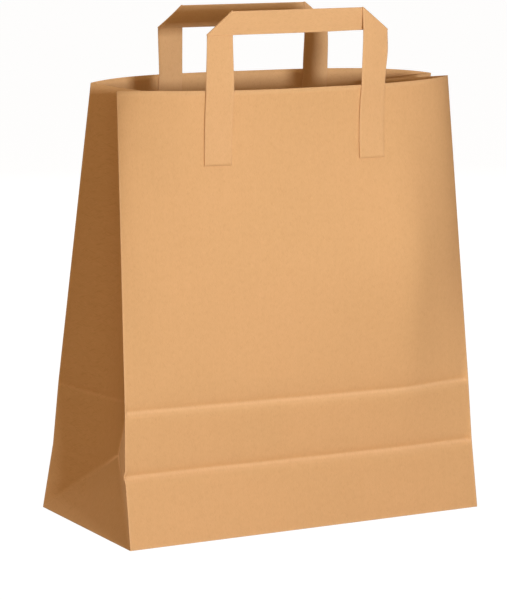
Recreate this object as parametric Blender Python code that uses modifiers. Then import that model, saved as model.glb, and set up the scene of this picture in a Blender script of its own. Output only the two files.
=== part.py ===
"""Paper carrier bag: one folded sheet with two folded tape handles.

The bag stands on its flat bottom with the origin at the middle of that
bottom, its front towards -Y and +Z up. All sizes are in metres. The bag body
is worked out as flat paper that was folded and pulled open, so that a height
or a width given below is measured along the sheet.
"""

import math

import bpy
import bmesh
import numpy as np
from mathutils import Vector

# Overall sizes of the bag body
BASE_WIDTH = 0.260
BASE_DEPTH = 0.140
SHEET_HEIGHT = 0.2937
SHEET_THICKNESS = 0.00015

# Fold lines of the block bottom, as heights along the sheet
LOWER_FOLD = 0.047
UPPER_FOLD = 0.089
GUSSET_APEX = 0.053
APEX_TILT = math.radians(28.0)

# How far the lower fold and the upper fold are sunk into the panel
LOWER_FOLD_SUNK = (0.0045, 0.0012)
UPPER_FOLD_SUNK = (0.0020, 0.0003)

# Rim of the mouth: inward lean of the left and right corners, the angle by
# which the rim turns outwards at its corners, how square the bow between them
# is, and the rim's sideways shift
FRONT_LEAN = (0.0245, 0.0146)
FRONT_TURN = math.radians(64.7)
FRONT_BOW_POWER = 3.37
FRONT_SHIFT = -0.0074
REAR_LEAN = (0.0330, 0.0560)
REAR_TURN = math.radians(40.1)
REAR_BOW_POWER = 2.98
REAR_SHIFT = 0.0212
BOW_GROWTH = 1.6

# Handles: a tape folded over at both top corners. Each one stands a little
# off the middle of its panel, and rises its own height over the rim.
HANDLE_WIDTH = 0.1250
HANDLE_LENGTH = 0.0987
TAPE_WIDTH = 0.0178
TAPE_THICKNESS = 0.0008
GRIP_DEPTH = 0.0150
GLUE_GAP = 0.0004
LAYER_OVERLAP = 0.0001
FRONT_HANDLE_RISE = 0.0502
FRONT_HANDLE_OFFSET = -0.0075
REAR_HANDLE_RISE = 0.0460
REAR_HANDLE_OFFSET = -0.0054

# How finely each surface is divided, and the distance over which the direction
# of a panel is measured
PANEL_COLUMNS = 20
ROWS_ABOVE_FOLD = 6
ROWS_BELOW_FOLD = 3
TAPE_COLUMNS = 4
TAPE_ROWS = 8
GRIP_COLUMNS = 14
FINE_STEPS = 120
PROBE_STEP = 0.002

COLLECTION_NAME = "paper_carrier_bag"

FRONT = {
    "edge_y": -BASE_DEPTH / 2,
    "inward": 1.0,
    "lean": FRONT_LEAN,
    "turn": FRONT_TURN,
    "power": FRONT_BOW_POWER,
    "shift": FRONT_SHIFT,
    "handle_rise": FRONT_HANDLE_RISE,
    "handle_offset": FRONT_HANDLE_OFFSET,
}
REAR = {
    "edge_y": BASE_DEPTH / 2,
    "inward": -1.0,
    "lean": REAR_LEAN,
    "turn": REAR_TURN,
    "power": REAR_BOW_POWER,
    "shift": REAR_SHIFT,
    "handle_rise": REAR_HANDLE_RISE,
    "handle_offset": REAR_HANDLE_OFFSET,
}


def clear_scene():
    """Remove every object that a new file starts with."""
    for item in list(bpy.data.objects):
        bpy.data.objects.remove(item, do_unlink=True)


def rim_bow(panel, along):
    """Outward bow of the rim at a share of the width, none at the corners."""
    depth = math.sin(panel["turn"]) * BASE_WIDTH / (2.0 * panel["power"])
    return depth * (1.0 - np.abs(2.0 * along - 1.0) ** panel["power"])


def inward_shift(panel, along, height):
    """Inward distance of the panel from its bottom edge, as an array.

    The corners' lean grows evenly with height and the bow grows faster, and
    each fold line is sunk a little, most at the left edge.
    """
    level = height / SHEET_HEIGHT
    lean = panel["lean"][0] + (panel["lean"][1] - panel["lean"][0]) * along
    lower = LOWER_FOLD_SUNK[0] + (LOWER_FOLD_SUNK[1] - LOWER_FOLD_SUNK[0]) * along
    upper = UPPER_FOLD_SUNK[0] + (UPPER_FOLD_SUNK[1] - UPPER_FOLD_SUNK[0]) * along
    marks = (0.0, LOWER_FOLD, UPPER_FOLD, SHEET_HEIGHT)
    lower_share = np.interp(height, marks, (0.0, 1.0, 0.0, 0.0))
    upper_share = np.interp(height, marks, (0.0, 0.0, 1.0, 0.0))
    sunk = lower * lower_share + upper * upper_share
    return lean * level + sunk - rim_bow(panel, along) * level ** BOW_GROWTH


def rim_sideways(panel, along):
    """Sideways move of rim points, from the rim keeping its length as it bows."""
    fine = np.linspace(0.0, 1.0, 2 * FINE_STEPS + 1)
    depth = inward_shift(panel, fine, np.full_like(fine, SHEET_HEIGHT))
    step = BASE_WIDTH / (len(fine) - 1)
    slope = np.gradient(depth, step)
    forward = np.sqrt(1.0 - slope ** 2)
    length = np.concatenate([[0.0], np.cumsum((forward[1:] + forward[:-1]) / 2 * step)])
    centred = length - np.interp(0.5, fine, length) + BASE_WIDTH / 2
    return np.interp(along, fine, centred - fine * BASE_WIDTH) + panel["shift"]


def panel_points(panel, along, heights):
    """Points of a panel for shares of its width and heights along the sheet.

    Each upright line of the panel keeps its length: what it gains sideways
    and inwards it loses in height.
    """
    along = np.asarray(along, dtype=float)
    heights = np.asarray(heights, dtype=float)
    fine = np.linspace(0.0, SHEET_HEIGHT, FINE_STEPS + 1)
    grid_along = np.repeat(along[None, :], len(fine), axis=0)
    grid_height = np.repeat(fine[:, None], len(along), axis=1)
    inward = inward_shift(panel, grid_along, grid_height)
    sideways = rim_sideways(panel, along)[None, :] * grid_height / SHEET_HEIGHT
    spent = np.diff(inward, axis=0) ** 2 + np.diff(sideways, axis=0) ** 2
    rise = np.sqrt(np.diff(fine)[:, None] ** 2 - spent)
    up = np.concatenate([np.zeros((1, len(along))), np.cumsum(rise, axis=0)])
    points = np.zeros((len(heights), len(along), 3))
    for column in range(len(along)):
        across = np.interp(heights, fine, sideways[:, column])
        into = inward_shift(panel, np.full_like(heights, along[column]), heights)
        points[:, column, 0] = (along[column] - 0.5) * BASE_WIDTH + across
        points[:, column, 1] = panel["edge_y"] + panel["inward"] * into
        points[:, column, 2] = np.interp(heights, fine, up[:, column])
    return points


def meet_three(first, second, third, reach_first, reach_second, reach_third, side):
    """Point at given distances from three others, on the chosen side of their plane."""
    along = (second - first).normalized()
    span = (second - first).length
    offset = third - first
    part = along.dot(offset)
    across = (offset - along * part).normalized()
    other = across.dot(offset)
    normal = along.cross(across)
    x = (reach_first ** 2 - reach_second ** 2 + span ** 2) / (2 * span)
    y = (reach_first ** 2 - reach_third ** 2 + part ** 2 + other ** 2 - 2 * part * x) / (2 * other)
    z = math.sqrt(reach_first ** 2 - x ** 2 - y ** 2)
    return first + along * x + across * y + normal * z * side


def gusset_centre(side):
    """Apex of the bottom folds and top of the centre fold of one gusset.

    Side is -1 for the left gusset and +1 for the right one. The apex lies at
    its sheet height above the bottom edge, tilted into the bag, and the top
    is half the gusset's width from both corners of the mouth.
    """
    share = [0.0] if side < 0 else [1.0]
    corner_front = Vector(panel_points(FRONT, share, [SHEET_HEIGHT])[0, 0])
    corner_rear = Vector(panel_points(REAR, share, [SHEET_HEIGHT])[0, 0])
    apex = Vector((
        side * (BASE_WIDTH / 2 - GUSSET_APEX * math.sin(APEX_TILT)),
        0.0,
        GUSSET_APEX * math.cos(APEX_TILT),
    ))
    half = BASE_DEPTH / 2
    rise = SHEET_HEIGHT - GUSSET_APEX
    options = [
        meet_three(corner_front, corner_rear, apex, half, half, rise, turn)
        for turn in (1.0, -1.0)
    ]
    top = min(options, key=lambda point: point.x * side)
    return np.array(apex), np.array(top)


def sheet_rows():
    """Heights along the sheet of the body's rows of points."""
    below = [LOWER_FOLD * step / ROWS_BELOW_FOLD for step in range(ROWS_BELOW_FOLD + 1)]
    gap = (SHEET_HEIGHT - UPPER_FOLD) / ROWS_ABOVE_FOLD
    above = [UPPER_FOLD + gap * step for step in range(ROWS_ABOVE_FOLD + 1)]
    return sorted(set(below + [GUSSET_APEX] + above))


def gusset_shares(rows):
    """Shares of half the gusset's width at which the bottom folds meet a row."""
    return [height / GUSSET_APEX for height in rows if height <= GUSSET_APEX]


def gusset_half(panel, side, rows):
    """Points of half a gusset, from the panel's edge to the centre fold.

    Under the diagonal fold lies the bottom triangle, and over it the half is
    stretched from the panel's edge to the diagonal and then to the centre
    fold.
    """
    apex, top = gusset_centre(side)
    share = 0.0 if side < 0 else 1.0
    edge = panel_points(panel, [share], rows)[:, 0]
    corner = edge[0]
    middle = np.array([corner[0], 0.0, 0.0])
    columns = gusset_shares(rows)
    points = np.zeros((len(rows), len(columns), 3))
    for row, height in enumerate(rows):
        level = min(height / GUSSET_APEX, 1.0)
        for column, part in enumerate(columns):
            if height >= GUSSET_APEX:
                climb = (height - GUSSET_APEX) / (SHEET_HEIGHT - GUSSET_APEX)
                inner = apex + (top - apex) * climb
                points[row, column] = edge[row] + (inner - edge[row]) * part
            elif part <= level and level > 0.0:
                inner = corner + (apex - corner) * level
                points[row, column] = edge[row] + (inner - edge[row]) * part / level
            else:
                points[row, column] = corner + (middle - corner) * part + (apex - middle) * level
    return points


def body_rings(rows):
    """One closed ring of points for each row, counted from the front left edge."""
    shares = np.linspace(0.0, 1.0, PANEL_COLUMNS + 1)
    front = panel_points(FRONT, shares, rows)
    rear = panel_points(REAR, shares[::-1], rows)
    right_front = gusset_half(FRONT, 1.0, rows)
    right_rear = gusset_half(REAR, 1.0, rows)[:, ::-1]
    left_rear = gusset_half(REAR, -1.0, rows)
    left_front = gusset_half(FRONT, -1.0, rows)[:, ::-1]
    return np.concatenate([
        front,
        right_front[:, 1:],
        right_rear[:, 1:],
        rear[:, 1:],
        left_rear[:, 1:],
        left_front[:, 1:-1],
    ], axis=1)


def split_direction(column, row, half_columns):
    """Which way a wall face is split, so that the diagonal folds stay sharp."""
    first = PANEL_COLUMNS
    starts = (first, first + 2 * half_columns + PANEL_COLUMNS)
    for start in starts:
        if column - start == row and row < half_columns:
            return "rising"
        if start + 2 * half_columns - 1 - column == row and row < half_columns:
            return "falling"
    return "none"


def make_body(material):
    """The bag body: walls, gussets and bottom of one sheet, open at the top."""
    rows = sheet_rows()
    rings = body_rings(rows)
    half_columns = len(gusset_shares(rows)) - 1
    count = rings.shape[1]
    mesh_data = bmesh.new()
    ring_verts = [[mesh_data.verts.new(point) for point in ring] for ring in rings]
    for row in range(len(rows) - 1):
        for column in range(count):
            following = (column + 1) % count
            low_a = ring_verts[row][column]
            low_b = ring_verts[row][following]
            high_a = ring_verts[row + 1][column]
            high_b = ring_verts[row + 1][following]
            direction = split_direction(column, row, half_columns)
            if direction == "rising":
                mesh_data.faces.new((low_a, low_b, high_b))
                mesh_data.faces.new((low_a, high_b, high_a))
            elif direction == "falling":
                mesh_data.faces.new((low_a, low_b, high_a))
                mesh_data.faces.new((low_b, high_b, high_a))
            else:
                mesh_data.faces.new((low_a, low_b, high_b, high_a))
    add_bottom(mesh_data, ring_verts[0], half_columns)
    body = finish_object("bag_body", mesh_data, material)
    add_thickness(body, SHEET_THICKNESS, -1.0)
    return body


def add_bottom(mesh_data, ring, half_columns):
    """The flat bottom: a grid between the four bottom edges."""
    across = PANEL_COLUMNS
    deep = 2 * half_columns
    count = len(ring)
    grid = [ring[:across + 1]]
    for row in range(1, deep):
        left = ring[(count - row) % count]
        right = ring[across + row]
        line = [left]
        for column in range(1, across):
            share = column / across
            line.append(mesh_data.verts.new(left.co.lerp(right.co, share)))
        line.append(right)
        grid.append(line)
    grid.append([ring[across + deep + across - column] for column in range(across + 1)])
    for row in range(deep):
        for column in range(across):
            mesh_data.faces.new((
                grid[row][column],
                grid[row + 1][column],
                grid[row + 1][column + 1],
                grid[row][column + 1],
            ))


def tape_sheet(panel, along, height, lift):
    """Point on the handle's surface, lifted towards the front of the bag.

    Below the rim it follows the panel. Above the rim it stands upright and
    eases into the flat plane through both legs.
    """
    wall = SHEET_THICKNESS if panel["inward"] < 0 else 0.0
    stand_off = wall + GLUE_GAP + TAPE_THICKNESS / 2
    below = min(height, SHEET_HEIGHT)
    low = min(max(below, PROBE_STEP), SHEET_HEIGHT - PROBE_STEP)
    here = panel_points(panel, [along, along + PROBE_STEP], [below])[0]
    lean = panel_points(panel, [along], [low - PROBE_STEP, low + PROBE_STEP])[:, 0]
    point = Vector(here[0])
    sideways = Vector(here[1]) - point
    upwards = Vector(lean[1]) - Vector(lean[0])
    facing = sideways.cross(upwards).normalized()
    return point + facing * (stand_off + lift)


def handle_frame(panel):
    """Shares of the panel's width at the tape's four upright edges."""
    middle = 0.5 + panel["handle_offset"] / BASE_WIDTH
    outer = HANDLE_WIDTH / 2 / BASE_WIDTH
    tape = TAPE_WIDTH / BASE_WIDTH
    return (middle - outer, middle - outer + tape, middle + outer - tape, middle + outer)


def smooth_share(share):
    """A share between 0 and 1 that starts and ends level."""
    return share * share * (3.0 - 2.0 * share)


def handle_point(panel, edges, along, height, layer):
    """Point of the handle for a share of the width, a height and a layer."""
    free = max(height - SHEET_HEIGHT, 0.0)
    ease = smooth_share(min(free / (panel["handle_rise"] - GRIP_DEPTH), 1.0))
    lift = layer * (TAPE_THICKNESS - LAYER_OVERLAP)
    point = tape_sheet(panel, along, height, lift * ease)
    left_middle = (edges[0] + edges[1]) / 2
    right_middle = (edges[2] + edges[3]) / 2
    left = tape_sheet(panel, left_middle, SHEET_HEIGHT, lift)
    right = tape_sheet(panel, right_middle, SHEET_HEIGHT, lift)
    flat = left.lerp(right, (along - left_middle) / (right_middle - left_middle))
    return point.lerp(flat, ease) + Vector((0.0, 0.0, free))


def strip_mesh(points):
    """Open grid of faces from rows of points, seen from the front."""
    mesh_data = bmesh.new()
    verts = [[mesh_data.verts.new(point) for point in line] for line in points]
    for low, high in zip(verts[:-1], verts[1:]):
        for column in range(len(low) - 1):
            mesh_data.faces.new((low[column], low[column + 1], high[column + 1], high[column]))
    return mesh_data


def tape_line(panel, edges, start, end, heights, layer):
    """One row of handle points between two shares of the width."""
    step = (end - start) / (len(heights) - 1)
    return [
        handle_point(panel, edges, start + step * column, height, layer)
        for column, height in enumerate(heights)
    ]


def leg_points(panel, edges, is_right):
    """Rows of points of one leg, cut at its top along the folded corner."""
    start, end = (edges[2], edges[3]) if is_right else (edges[0], edges[1])
    layer = 2.0 if is_right else 0.0
    top = SHEET_HEIGHT + panel["handle_rise"]
    bottom = top - HANDLE_LENGTH
    shares = [column / TAPE_COLUMNS for column in range(TAPE_COLUMNS + 1)]
    glued_length = SHEET_HEIGHT - bottom
    glued = [bottom + glued_length * row / TAPE_ROWS for row in range(TAPE_ROWS + 1)]
    lines = []
    for height in glued:
        heights = [height for _ in shares]
        lines.append(tape_line(panel, edges, start, end, heights, layer))
    for row in range(1, TAPE_ROWS + 1):
        cuts = shares if is_right else shares[::-1]
        limits = [top - GRIP_DEPTH * cut for cut in cuts]
        heights = [SHEET_HEIGHT + (limit - SHEET_HEIGHT) * row / TAPE_ROWS for limit in limits]
        lines.append(tape_line(panel, edges, start, end, heights, layer))
    return lines


def grip_points(panel, edges):
    """Rows of points of the grip, its ends cut along the folded corners."""
    top = SHEET_HEIGHT + panel["handle_rise"]
    lines = []
    for row in range(TAPE_COLUMNS + 1):
        share = row / TAPE_COLUMNS
        height = top - GRIP_DEPTH * (1.0 - share)
        start = edges[0] + (edges[1] - edges[0]) * share
        end = edges[3] + (edges[2] - edges[3]) * share
        heights = [height for _ in range(GRIP_COLUMNS + 1)]
        lines.append(tape_line(panel, edges, start, end, heights, 1.0))
    return lines


def make_handle(name, panel, material):
    """One handle: two glued legs and a grip, joined at the folded corners."""
    edges = handle_frame(panel)
    strips = [
        leg_points(panel, edges, False),
        grip_points(panel, edges),
        leg_points(panel, edges, True),
    ]
    pieces = []
    for number, points in enumerate(strips):
        piece = finish_object(f"{name}_strip_{number}", strip_mesh(points), material)
        add_thickness(piece, TAPE_THICKNESS, 0.0)
        pieces.append(piece)
    handle = pieces[0]
    handle.name = name
    handle.data.name = name
    for other in pieces[1:]:
        join = handle.modifiers.new("join", "BOOLEAN")
        join.operation = "UNION"
        join.solver = "EXACT"
        join.object = other
    bpy.context.view_layer.update()
    depsgraph = bpy.context.evaluated_depsgraph_get()
    joined = bpy.data.meshes.new_from_object(handle.evaluated_get(depsgraph))
    joined.name = name
    handle.modifiers.clear()
    handle.data = joined
    for other in pieces[1:]:
        bpy.data.objects.remove(other, do_unlink=True)
    return handle


def add_thickness(item, thickness, offset):
    """Give an open surface its thickness: offset -1 grows it inwards only."""
    solidify = item.modifiers.new("thickness", "SOLIDIFY")
    solidify.thickness = thickness
    solidify.offset = offset
    solidify.use_even_offset = True
    solidify.use_rim = True


def finish_object(name, mesh_data, material):
    """Turn a bmesh into a named object in the bag's collection."""
    mesh = bpy.data.meshes.new(name)
    mesh_data.to_mesh(mesh)
    mesh_data.free()
    mesh.materials.append(material)
    item = bpy.data.objects.new(name, mesh)
    bpy.data.collections[COLLECTION_NAME].objects.link(item)
    return item


def paper_material(name, colour, roughness):
    """Plain kraft paper."""
    material = bpy.data.materials.new(name)
    material.use_nodes = True
    shader = material.node_tree.nodes["Principled BSDF"]
    shader.inputs["Base Color"].default_value = (*colour, 1.0)
    shader.inputs["Roughness"].default_value = roughness
    shader.inputs["Metallic"].default_value = 0.0
    return material


def main():
    """Build the bag."""
    clear_scene()
    collection = bpy.data.collections.new(COLLECTION_NAME)
    bpy.context.scene.collection.children.link(collection)
    bag_paper = paper_material("kraft_paper", (0.69, 0.40, 0.19), 0.85)
    tape_paper = paper_material("kraft_tape", (0.73, 0.43, 0.21), 0.80)
    make_body(bag_paper)
    make_handle("front_handle", FRONT, tape_paper)
    make_handle("rear_handle", REAR, tape_paper)


main()
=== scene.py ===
"""Looks of a brown paper carrier bag, standing open on a white floor.

The bag body is one folded sheet, and each handle one folded tape. Both are
worked out as flat paper that was folded and pulled open, in the same frame
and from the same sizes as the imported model. All sizes are in metres, +Z is up
and the front of the bag faces -Y.
"""

import math

import bpy
import numpy as np
from mathutils import Matrix


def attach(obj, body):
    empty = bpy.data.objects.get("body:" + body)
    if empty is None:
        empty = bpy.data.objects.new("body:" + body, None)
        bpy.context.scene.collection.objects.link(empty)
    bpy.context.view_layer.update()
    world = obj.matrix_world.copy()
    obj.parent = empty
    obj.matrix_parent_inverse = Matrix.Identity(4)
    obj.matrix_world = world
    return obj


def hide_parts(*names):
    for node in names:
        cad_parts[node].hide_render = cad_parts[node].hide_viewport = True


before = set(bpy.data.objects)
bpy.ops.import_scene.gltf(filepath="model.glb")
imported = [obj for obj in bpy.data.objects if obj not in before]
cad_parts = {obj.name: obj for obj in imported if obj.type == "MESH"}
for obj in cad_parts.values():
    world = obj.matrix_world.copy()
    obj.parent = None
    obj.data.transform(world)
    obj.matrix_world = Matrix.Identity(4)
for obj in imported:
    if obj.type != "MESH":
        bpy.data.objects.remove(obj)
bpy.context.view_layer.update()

# Sizes of the folded sheet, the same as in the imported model
BASE_WIDTH = 0.260
BASE_DEPTH = 0.140
SHEET_HEIGHT = 0.2937
SHEET_THICKNESS = 0.00015
LOWER_FOLD = 0.047
UPPER_FOLD = 0.089
GUSSET_APEX = 0.053
APEX_TILT = math.radians(28.0)
LOWER_FOLD_SUNK = (0.0045, 0.0012)
UPPER_FOLD_SUNK = (0.0020, 0.0003)

# Sizes of the handles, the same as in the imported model
HANDLE_WIDTH = 0.1250
HANDLE_LENGTH = 0.0987
TAPE_WIDTH = 0.0178
TAPE_THICKNESS = 0.0008
GRIP_DEPTH = 0.0150
GLUE_GAP = 0.0004
LAYER_STEP = 0.00085

FRONT = {
    "edge_y": -BASE_DEPTH / 2,
    "inward": 1.0,
    "lean": (0.0245, 0.0146),
    "turn": math.radians(64.7),
    "power": 3.37,
    "left_power": 3.37,
    "growth": 1.6,
    "shift": -0.0074,
    "handle_rise": 0.0502,
    "handle_offset": -0.0075,
}
REAR = {
    "edge_y": BASE_DEPTH / 2,
    "inward": -1.0,
    "lean": (0.0330, 0.0560),
    "turn": math.radians(40.1),
    "power": 2.98,
    "left_power": 2.98,
    "growth": 1.6,
    "shift": 0.0212,
    "handle_rise": 0.0460,
    "handle_offset": -0.0054,
}

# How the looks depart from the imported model's even bow: the front panel stays
# flatter below its rim, and the left half of its rim is rounder
FRONT_LOOK = dict(FRONT, left_power=2.8, growth=2.6)

# Spacing of the surface points, wide on the open paper and close at a fold
OPEN_SPACING = 0.0038
FOLD_SPACING = 0.0005
FOLD_REACH = 0.0024

# Regular grid on which a panel is worked out before it is read anywhere
TABLE_COLUMNS = 521
TABLE_ROWS = 1176

# Each crease of the bottom sinks in. It comes down to the line over a long
# reach and goes out again over a short one.
LOWER_CREASE_DEPTH = 0.0027
UPPER_CREASE_DEPTH = 0.0025
REACH_ABOVE = 0.0140
REACH_CLOSE = 0.0023
CLOSE_SHARE = 0.5
REACH_BELOW = 0.0044
CREASE_ROUND = 0.0004

# Soft waves of the open paper
WAVE_COUNT = 14
WAVE_HEIGHT = 0.00026
WAVE_LENGTHS = (0.040, 0.120)
EDGE_CALM = 0.016

# The front panel bends back along its right edge, most halfway up. At the
# rim the bow alone turns it.
BEND_BREADTH = 0.056
BEND_SLOPE = 0.420
BEND_SOFTNESS = 0.013
BEND_START = 1.6
BEND_FADE = (0.55, 1.00)

# Soft upright valley left of the front handle: place, half breadth, depth,
# and how far down from the rim it runs
VALLEY_PLACE = 0.058
VALLEY_BREADTH = 0.0065
VALLEY_DEPTH = 0.00045
VALLEY_LENGTH = 0.085

# Narrow dents that the glued legs of the front handle pull into the panel
DENT_BREADTH = 0.0015
DENT_DEPTH = 0.00022
DENT_CLEAR = 0.0020

# Kink where the lower crease runs out at the front left upright edge
KINK_DEPTH = 0.0011
KINK_HEIGHT = 0.0026
KINK_BREADTH = 0.0045

# The sheet's two ends overlap in an upright glued seam in the rear panel: how
# far it lies from the panel's edge, its breadth and the run of its slope
SEAM_PLACE = 0.0600
SEAM_BREADTH = 0.0150
SEAM_RAMP = 0.012


def smooth_share(share):
    """A share between 0 and 1 that starts and ends level."""
    share = np.clip(share, 0.0, 1.0)
    return share * share * (3.0 - 2.0 * share)


def graded(start, end, marks):
    """Points from start to end that lie close together near each mark.

    The number of points for each metre is the open one plus a bell round
    each mark, and the points are where the running total of that density
    passes whole numbers.
    """
    fine = np.linspace(start, end, 4000)
    density = np.full_like(fine, 1.0 / OPEN_SPACING)
    for mark in marks:
        bell = np.exp(-(((fine - mark) / FOLD_REACH) ** 2))
        density += (1.0 / FOLD_SPACING - 1.0 / OPEN_SPACING) * bell
    step = (end - start) / (len(fine) - 1)
    total = np.concatenate([[0.0], np.cumsum((density[1:] + density[:-1]) / 2 * step)])
    count = int(math.ceil(total[-1]))
    return np.interp(np.linspace(0.0, total[-1], count + 1), total, fine)


def crease_form(above):
    """Depth share of a crease at a height above it: 1 on the line.

    Above the line it fades slowly, and below it comes up in an even slope.
    """
    rounded = np.sqrt(above ** 2 + CREASE_ROUND ** 2) - CREASE_ROUND
    fading = (1.0 - CLOSE_SHARE) * np.exp(-rounded / REACH_ABOVE) + CLOSE_SHARE * np.exp(-rounded / REACH_CLOSE)
    rising = smooth_share(1.0 - rounded / REACH_BELOW)
    return np.where(above > 0.0, fading, rising)


def groove(place, centre, breadth):
    """Share of a groove across a line at a centre: a bell of the given half breadth."""
    return np.exp(-(((place - centre) / breadth) ** 2))


def edge_bend(from_edge):
    """Outward swell beside an edge that bends back, from its slope.

    The slope is even over the bent strip and turns over softly. From there
    the swell falls evenly to nothing at the other edge.
    """
    fine = np.linspace(0.0, BASE_WIDTH, 2001)
    step = fine[1] - fine[0]
    peak = BEND_SLOPE * BEND_BREADTH
    past = smooth_share((fine - BEND_BREADTH + BEND_SOFTNESS) / (2.0 * BEND_SOFTNESS))
    falling = -peak / (BASE_WIDTH - BEND_BREADTH)
    slope = BEND_SLOPE * (1.0 - past) + falling * past
    swell = np.concatenate([[0.0], np.cumsum((slope[1:] + slope[:-1]) / 2 * step)])
    return np.interp(from_edge, fine, swell)


def leg_edges(panel):
    """Places across the panel of the four long edges of a handle's legs."""
    middle = BASE_WIDTH / 2 + panel["handle_offset"]
    outer = HANDLE_WIDTH / 2
    return middle - outer, middle - outer + TAPE_WIDTH, middle + outer - TAPE_WIDTH, middle + outer


def front_form(across, height):
    """Inward depth of what is particular to the front panel.

    The bent right edge, the soft valley left of the handle, and the dents
    beside its glued legs.
    """
    level = height / SHEET_HEIGHT
    fade = 1.0 - BEND_FADE[1] * smooth_share((level - BEND_FADE[0]) / (1.0 - BEND_FADE[0]))
    form = -edge_bend(BASE_WIDTH - across) * smooth_share(level * BEND_START) * fade
    below_rim = SHEET_HEIGHT - height
    reach = smooth_share(1.0 - below_rim / VALLEY_LENGTH)
    form += VALLEY_DEPTH * groove(across, VALLEY_PLACE, VALLEY_BREADTH) * reach
    glued = HANDLE_LENGTH - FRONT["handle_rise"]
    near_leg = smooth_share((glued - below_rim) / 0.008)
    _, left_inner, right_inner, right_outer = leg_edges(FRONT)
    for place in (left_inner + DENT_CLEAR, right_inner - DENT_CLEAR, right_outer + DENT_CLEAR):
        form += DENT_DEPTH * groove(across, place, DENT_BREADTH) * near_leg
    return form


def seam_share(across):
    """Share of the seam's outward step: a slope up, the overlap, and a sharp end."""
    rise = smooth_share((across - SEAM_PLACE + SEAM_RAMP) / SEAM_RAMP)
    return rise * (across <= SEAM_PLACE + SEAM_BREADTH)


def rear_form(across, height):
    """Inward depth of what is particular to the rear panel: its glued seam."""
    return -SHEET_THICKNESS * seam_share(across) * np.ones_like(height)


def corner_kink(panel, across, height):
    """Share of the kink in the front left edge, a bell both ways."""
    if panel is not FRONT:
        return np.zeros_like(across)
    return groove(across, 0.0, KINK_BREADTH) * groove(height, LOWER_FOLD, KINK_HEIGHT)


def paper_waves(across, height, seed):
    """Soft waves of the open paper: a sum of sines in random directions."""
    random = np.random.default_rng(seed)
    total = np.zeros_like(across)
    for _ in range(WAVE_COUNT):
        length = random.uniform(*WAVE_LENGTHS)
        angle = random.uniform(0.0, math.tau)
        phase = random.uniform(0.0, math.tau)
        place = across * math.cos(angle) + 0.5 * height * math.sin(angle)
        total += length * np.sin(math.tau * place / length + phase)
    return total * WAVE_HEIGHT / (np.mean(WAVE_LENGTHS) * math.sqrt(WAVE_COUNT / 2))


def rim_bow(panel, along):
    """Outward bow of the rim at a share of the width, none at the corners."""
    depth = math.sin(panel["turn"]) * BASE_WIDTH / (2.0 * panel["power"])
    power = np.where(along < 0.5, panel["left_power"], panel["power"])
    return depth * (1.0 - np.abs(2.0 * along - 1.0) ** power)


def inward_shift(panel, along, height):
    """Inward distance of a panel from its bottom edge.

    The corners' lean grows evenly with height and the bow grows faster, and
    each fold line of the bottom is sunk a little, most at the left edge.
    """
    level = height / SHEET_HEIGHT
    lean = panel["lean"][0] + (panel["lean"][1] - panel["lean"][0]) * along
    lower = LOWER_FOLD_SUNK[0] + (LOWER_FOLD_SUNK[1] - LOWER_FOLD_SUNK[0]) * along
    upper = UPPER_FOLD_SUNK[0] + (UPPER_FOLD_SUNK[1] - UPPER_FOLD_SUNK[0]) * along
    marks = (0.0, LOWER_FOLD, UPPER_FOLD, SHEET_HEIGHT)
    lower_share = np.interp(height, marks, (0.0, 1.0, 0.0, 0.0))
    upper_share = np.interp(height, marks, (0.0, 0.0, 1.0, 0.0))
    sunk = lower * lower_share + upper * upper_share
    return lean * level + sunk - rim_bow(panel, along) * level ** panel["growth"]


def rim_sideways(panel, along):
    """Sideways move of rim points, from the rim keeping its length as it bows."""
    depth = inward_shift(panel, along, np.full_like(along, SHEET_HEIGHT))
    step = BASE_WIDTH / (len(along) - 1)
    forward = np.sqrt(1.0 - np.gradient(depth, step) ** 2)
    length = np.concatenate([[0.0], np.cumsum((forward[1:] + forward[:-1]) / 2 * step)])
    centred = length - np.interp(0.5, along, length) + BASE_WIDTH / 2
    return centred - along * BASE_WIDTH + panel["shift"]


def panel_table(panel, look, own_form, seed):
    """A panel on a regular grid of its own height and width.

    Each upright line keeps its length: what it gains sideways and inwards it
    loses in height. The look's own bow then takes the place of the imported
    model's, and creases and soft waves are laid on, along Y.
    """
    along = np.linspace(0.0, 1.0, TABLE_COLUMNS)
    height = np.linspace(0.0, SHEET_HEIGHT, TABLE_ROWS)
    grid_along, grid_height = np.meshgrid(along, height)
    inward = inward_shift(panel, grid_along, grid_height)
    sideways = rim_sideways(panel, along)[None, :] * grid_height / SHEET_HEIGHT
    step = SHEET_HEIGHT / (TABLE_ROWS - 1)
    spent = np.diff(inward, axis=0) ** 2 + np.diff(sideways, axis=0) ** 2
    rise = np.sqrt(step ** 2 - spent)
    up = np.concatenate([np.zeros((1, TABLE_COLUMNS)), np.cumsum(rise, axis=0)])
    inward = inward_shift(look, grid_along, grid_height)
    edge = np.minimum(grid_along, 1.0 - grid_along) * BASE_WIDTH
    calm = smooth_share(edge / EDGE_CALM) * smooth_share(grid_height / EDGE_CALM)
    across = grid_along * BASE_WIDTH
    creases = LOWER_CREASE_DEPTH * crease_form(grid_height - LOWER_FOLD)
    creases += UPPER_CREASE_DEPTH * crease_form(grid_height - UPPER_FOLD)
    fine_form = creases * smooth_share(edge / 0.004)
    fine_form += calm * paper_waves(across, grid_height, seed)
    fine_form += own_form(across, grid_height)
    table = np.zeros((TABLE_ROWS, TABLE_COLUMNS, 3))
    kink = KINK_DEPTH * corner_kink(panel, across, grid_height)
    table[..., 0] = (grid_along - 0.5) * BASE_WIDTH + sideways - kink
    table[..., 1] = panel["edge_y"] + panel["inward"] * (inward + fine_form)
    table[..., 2] = up
    return table


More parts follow.
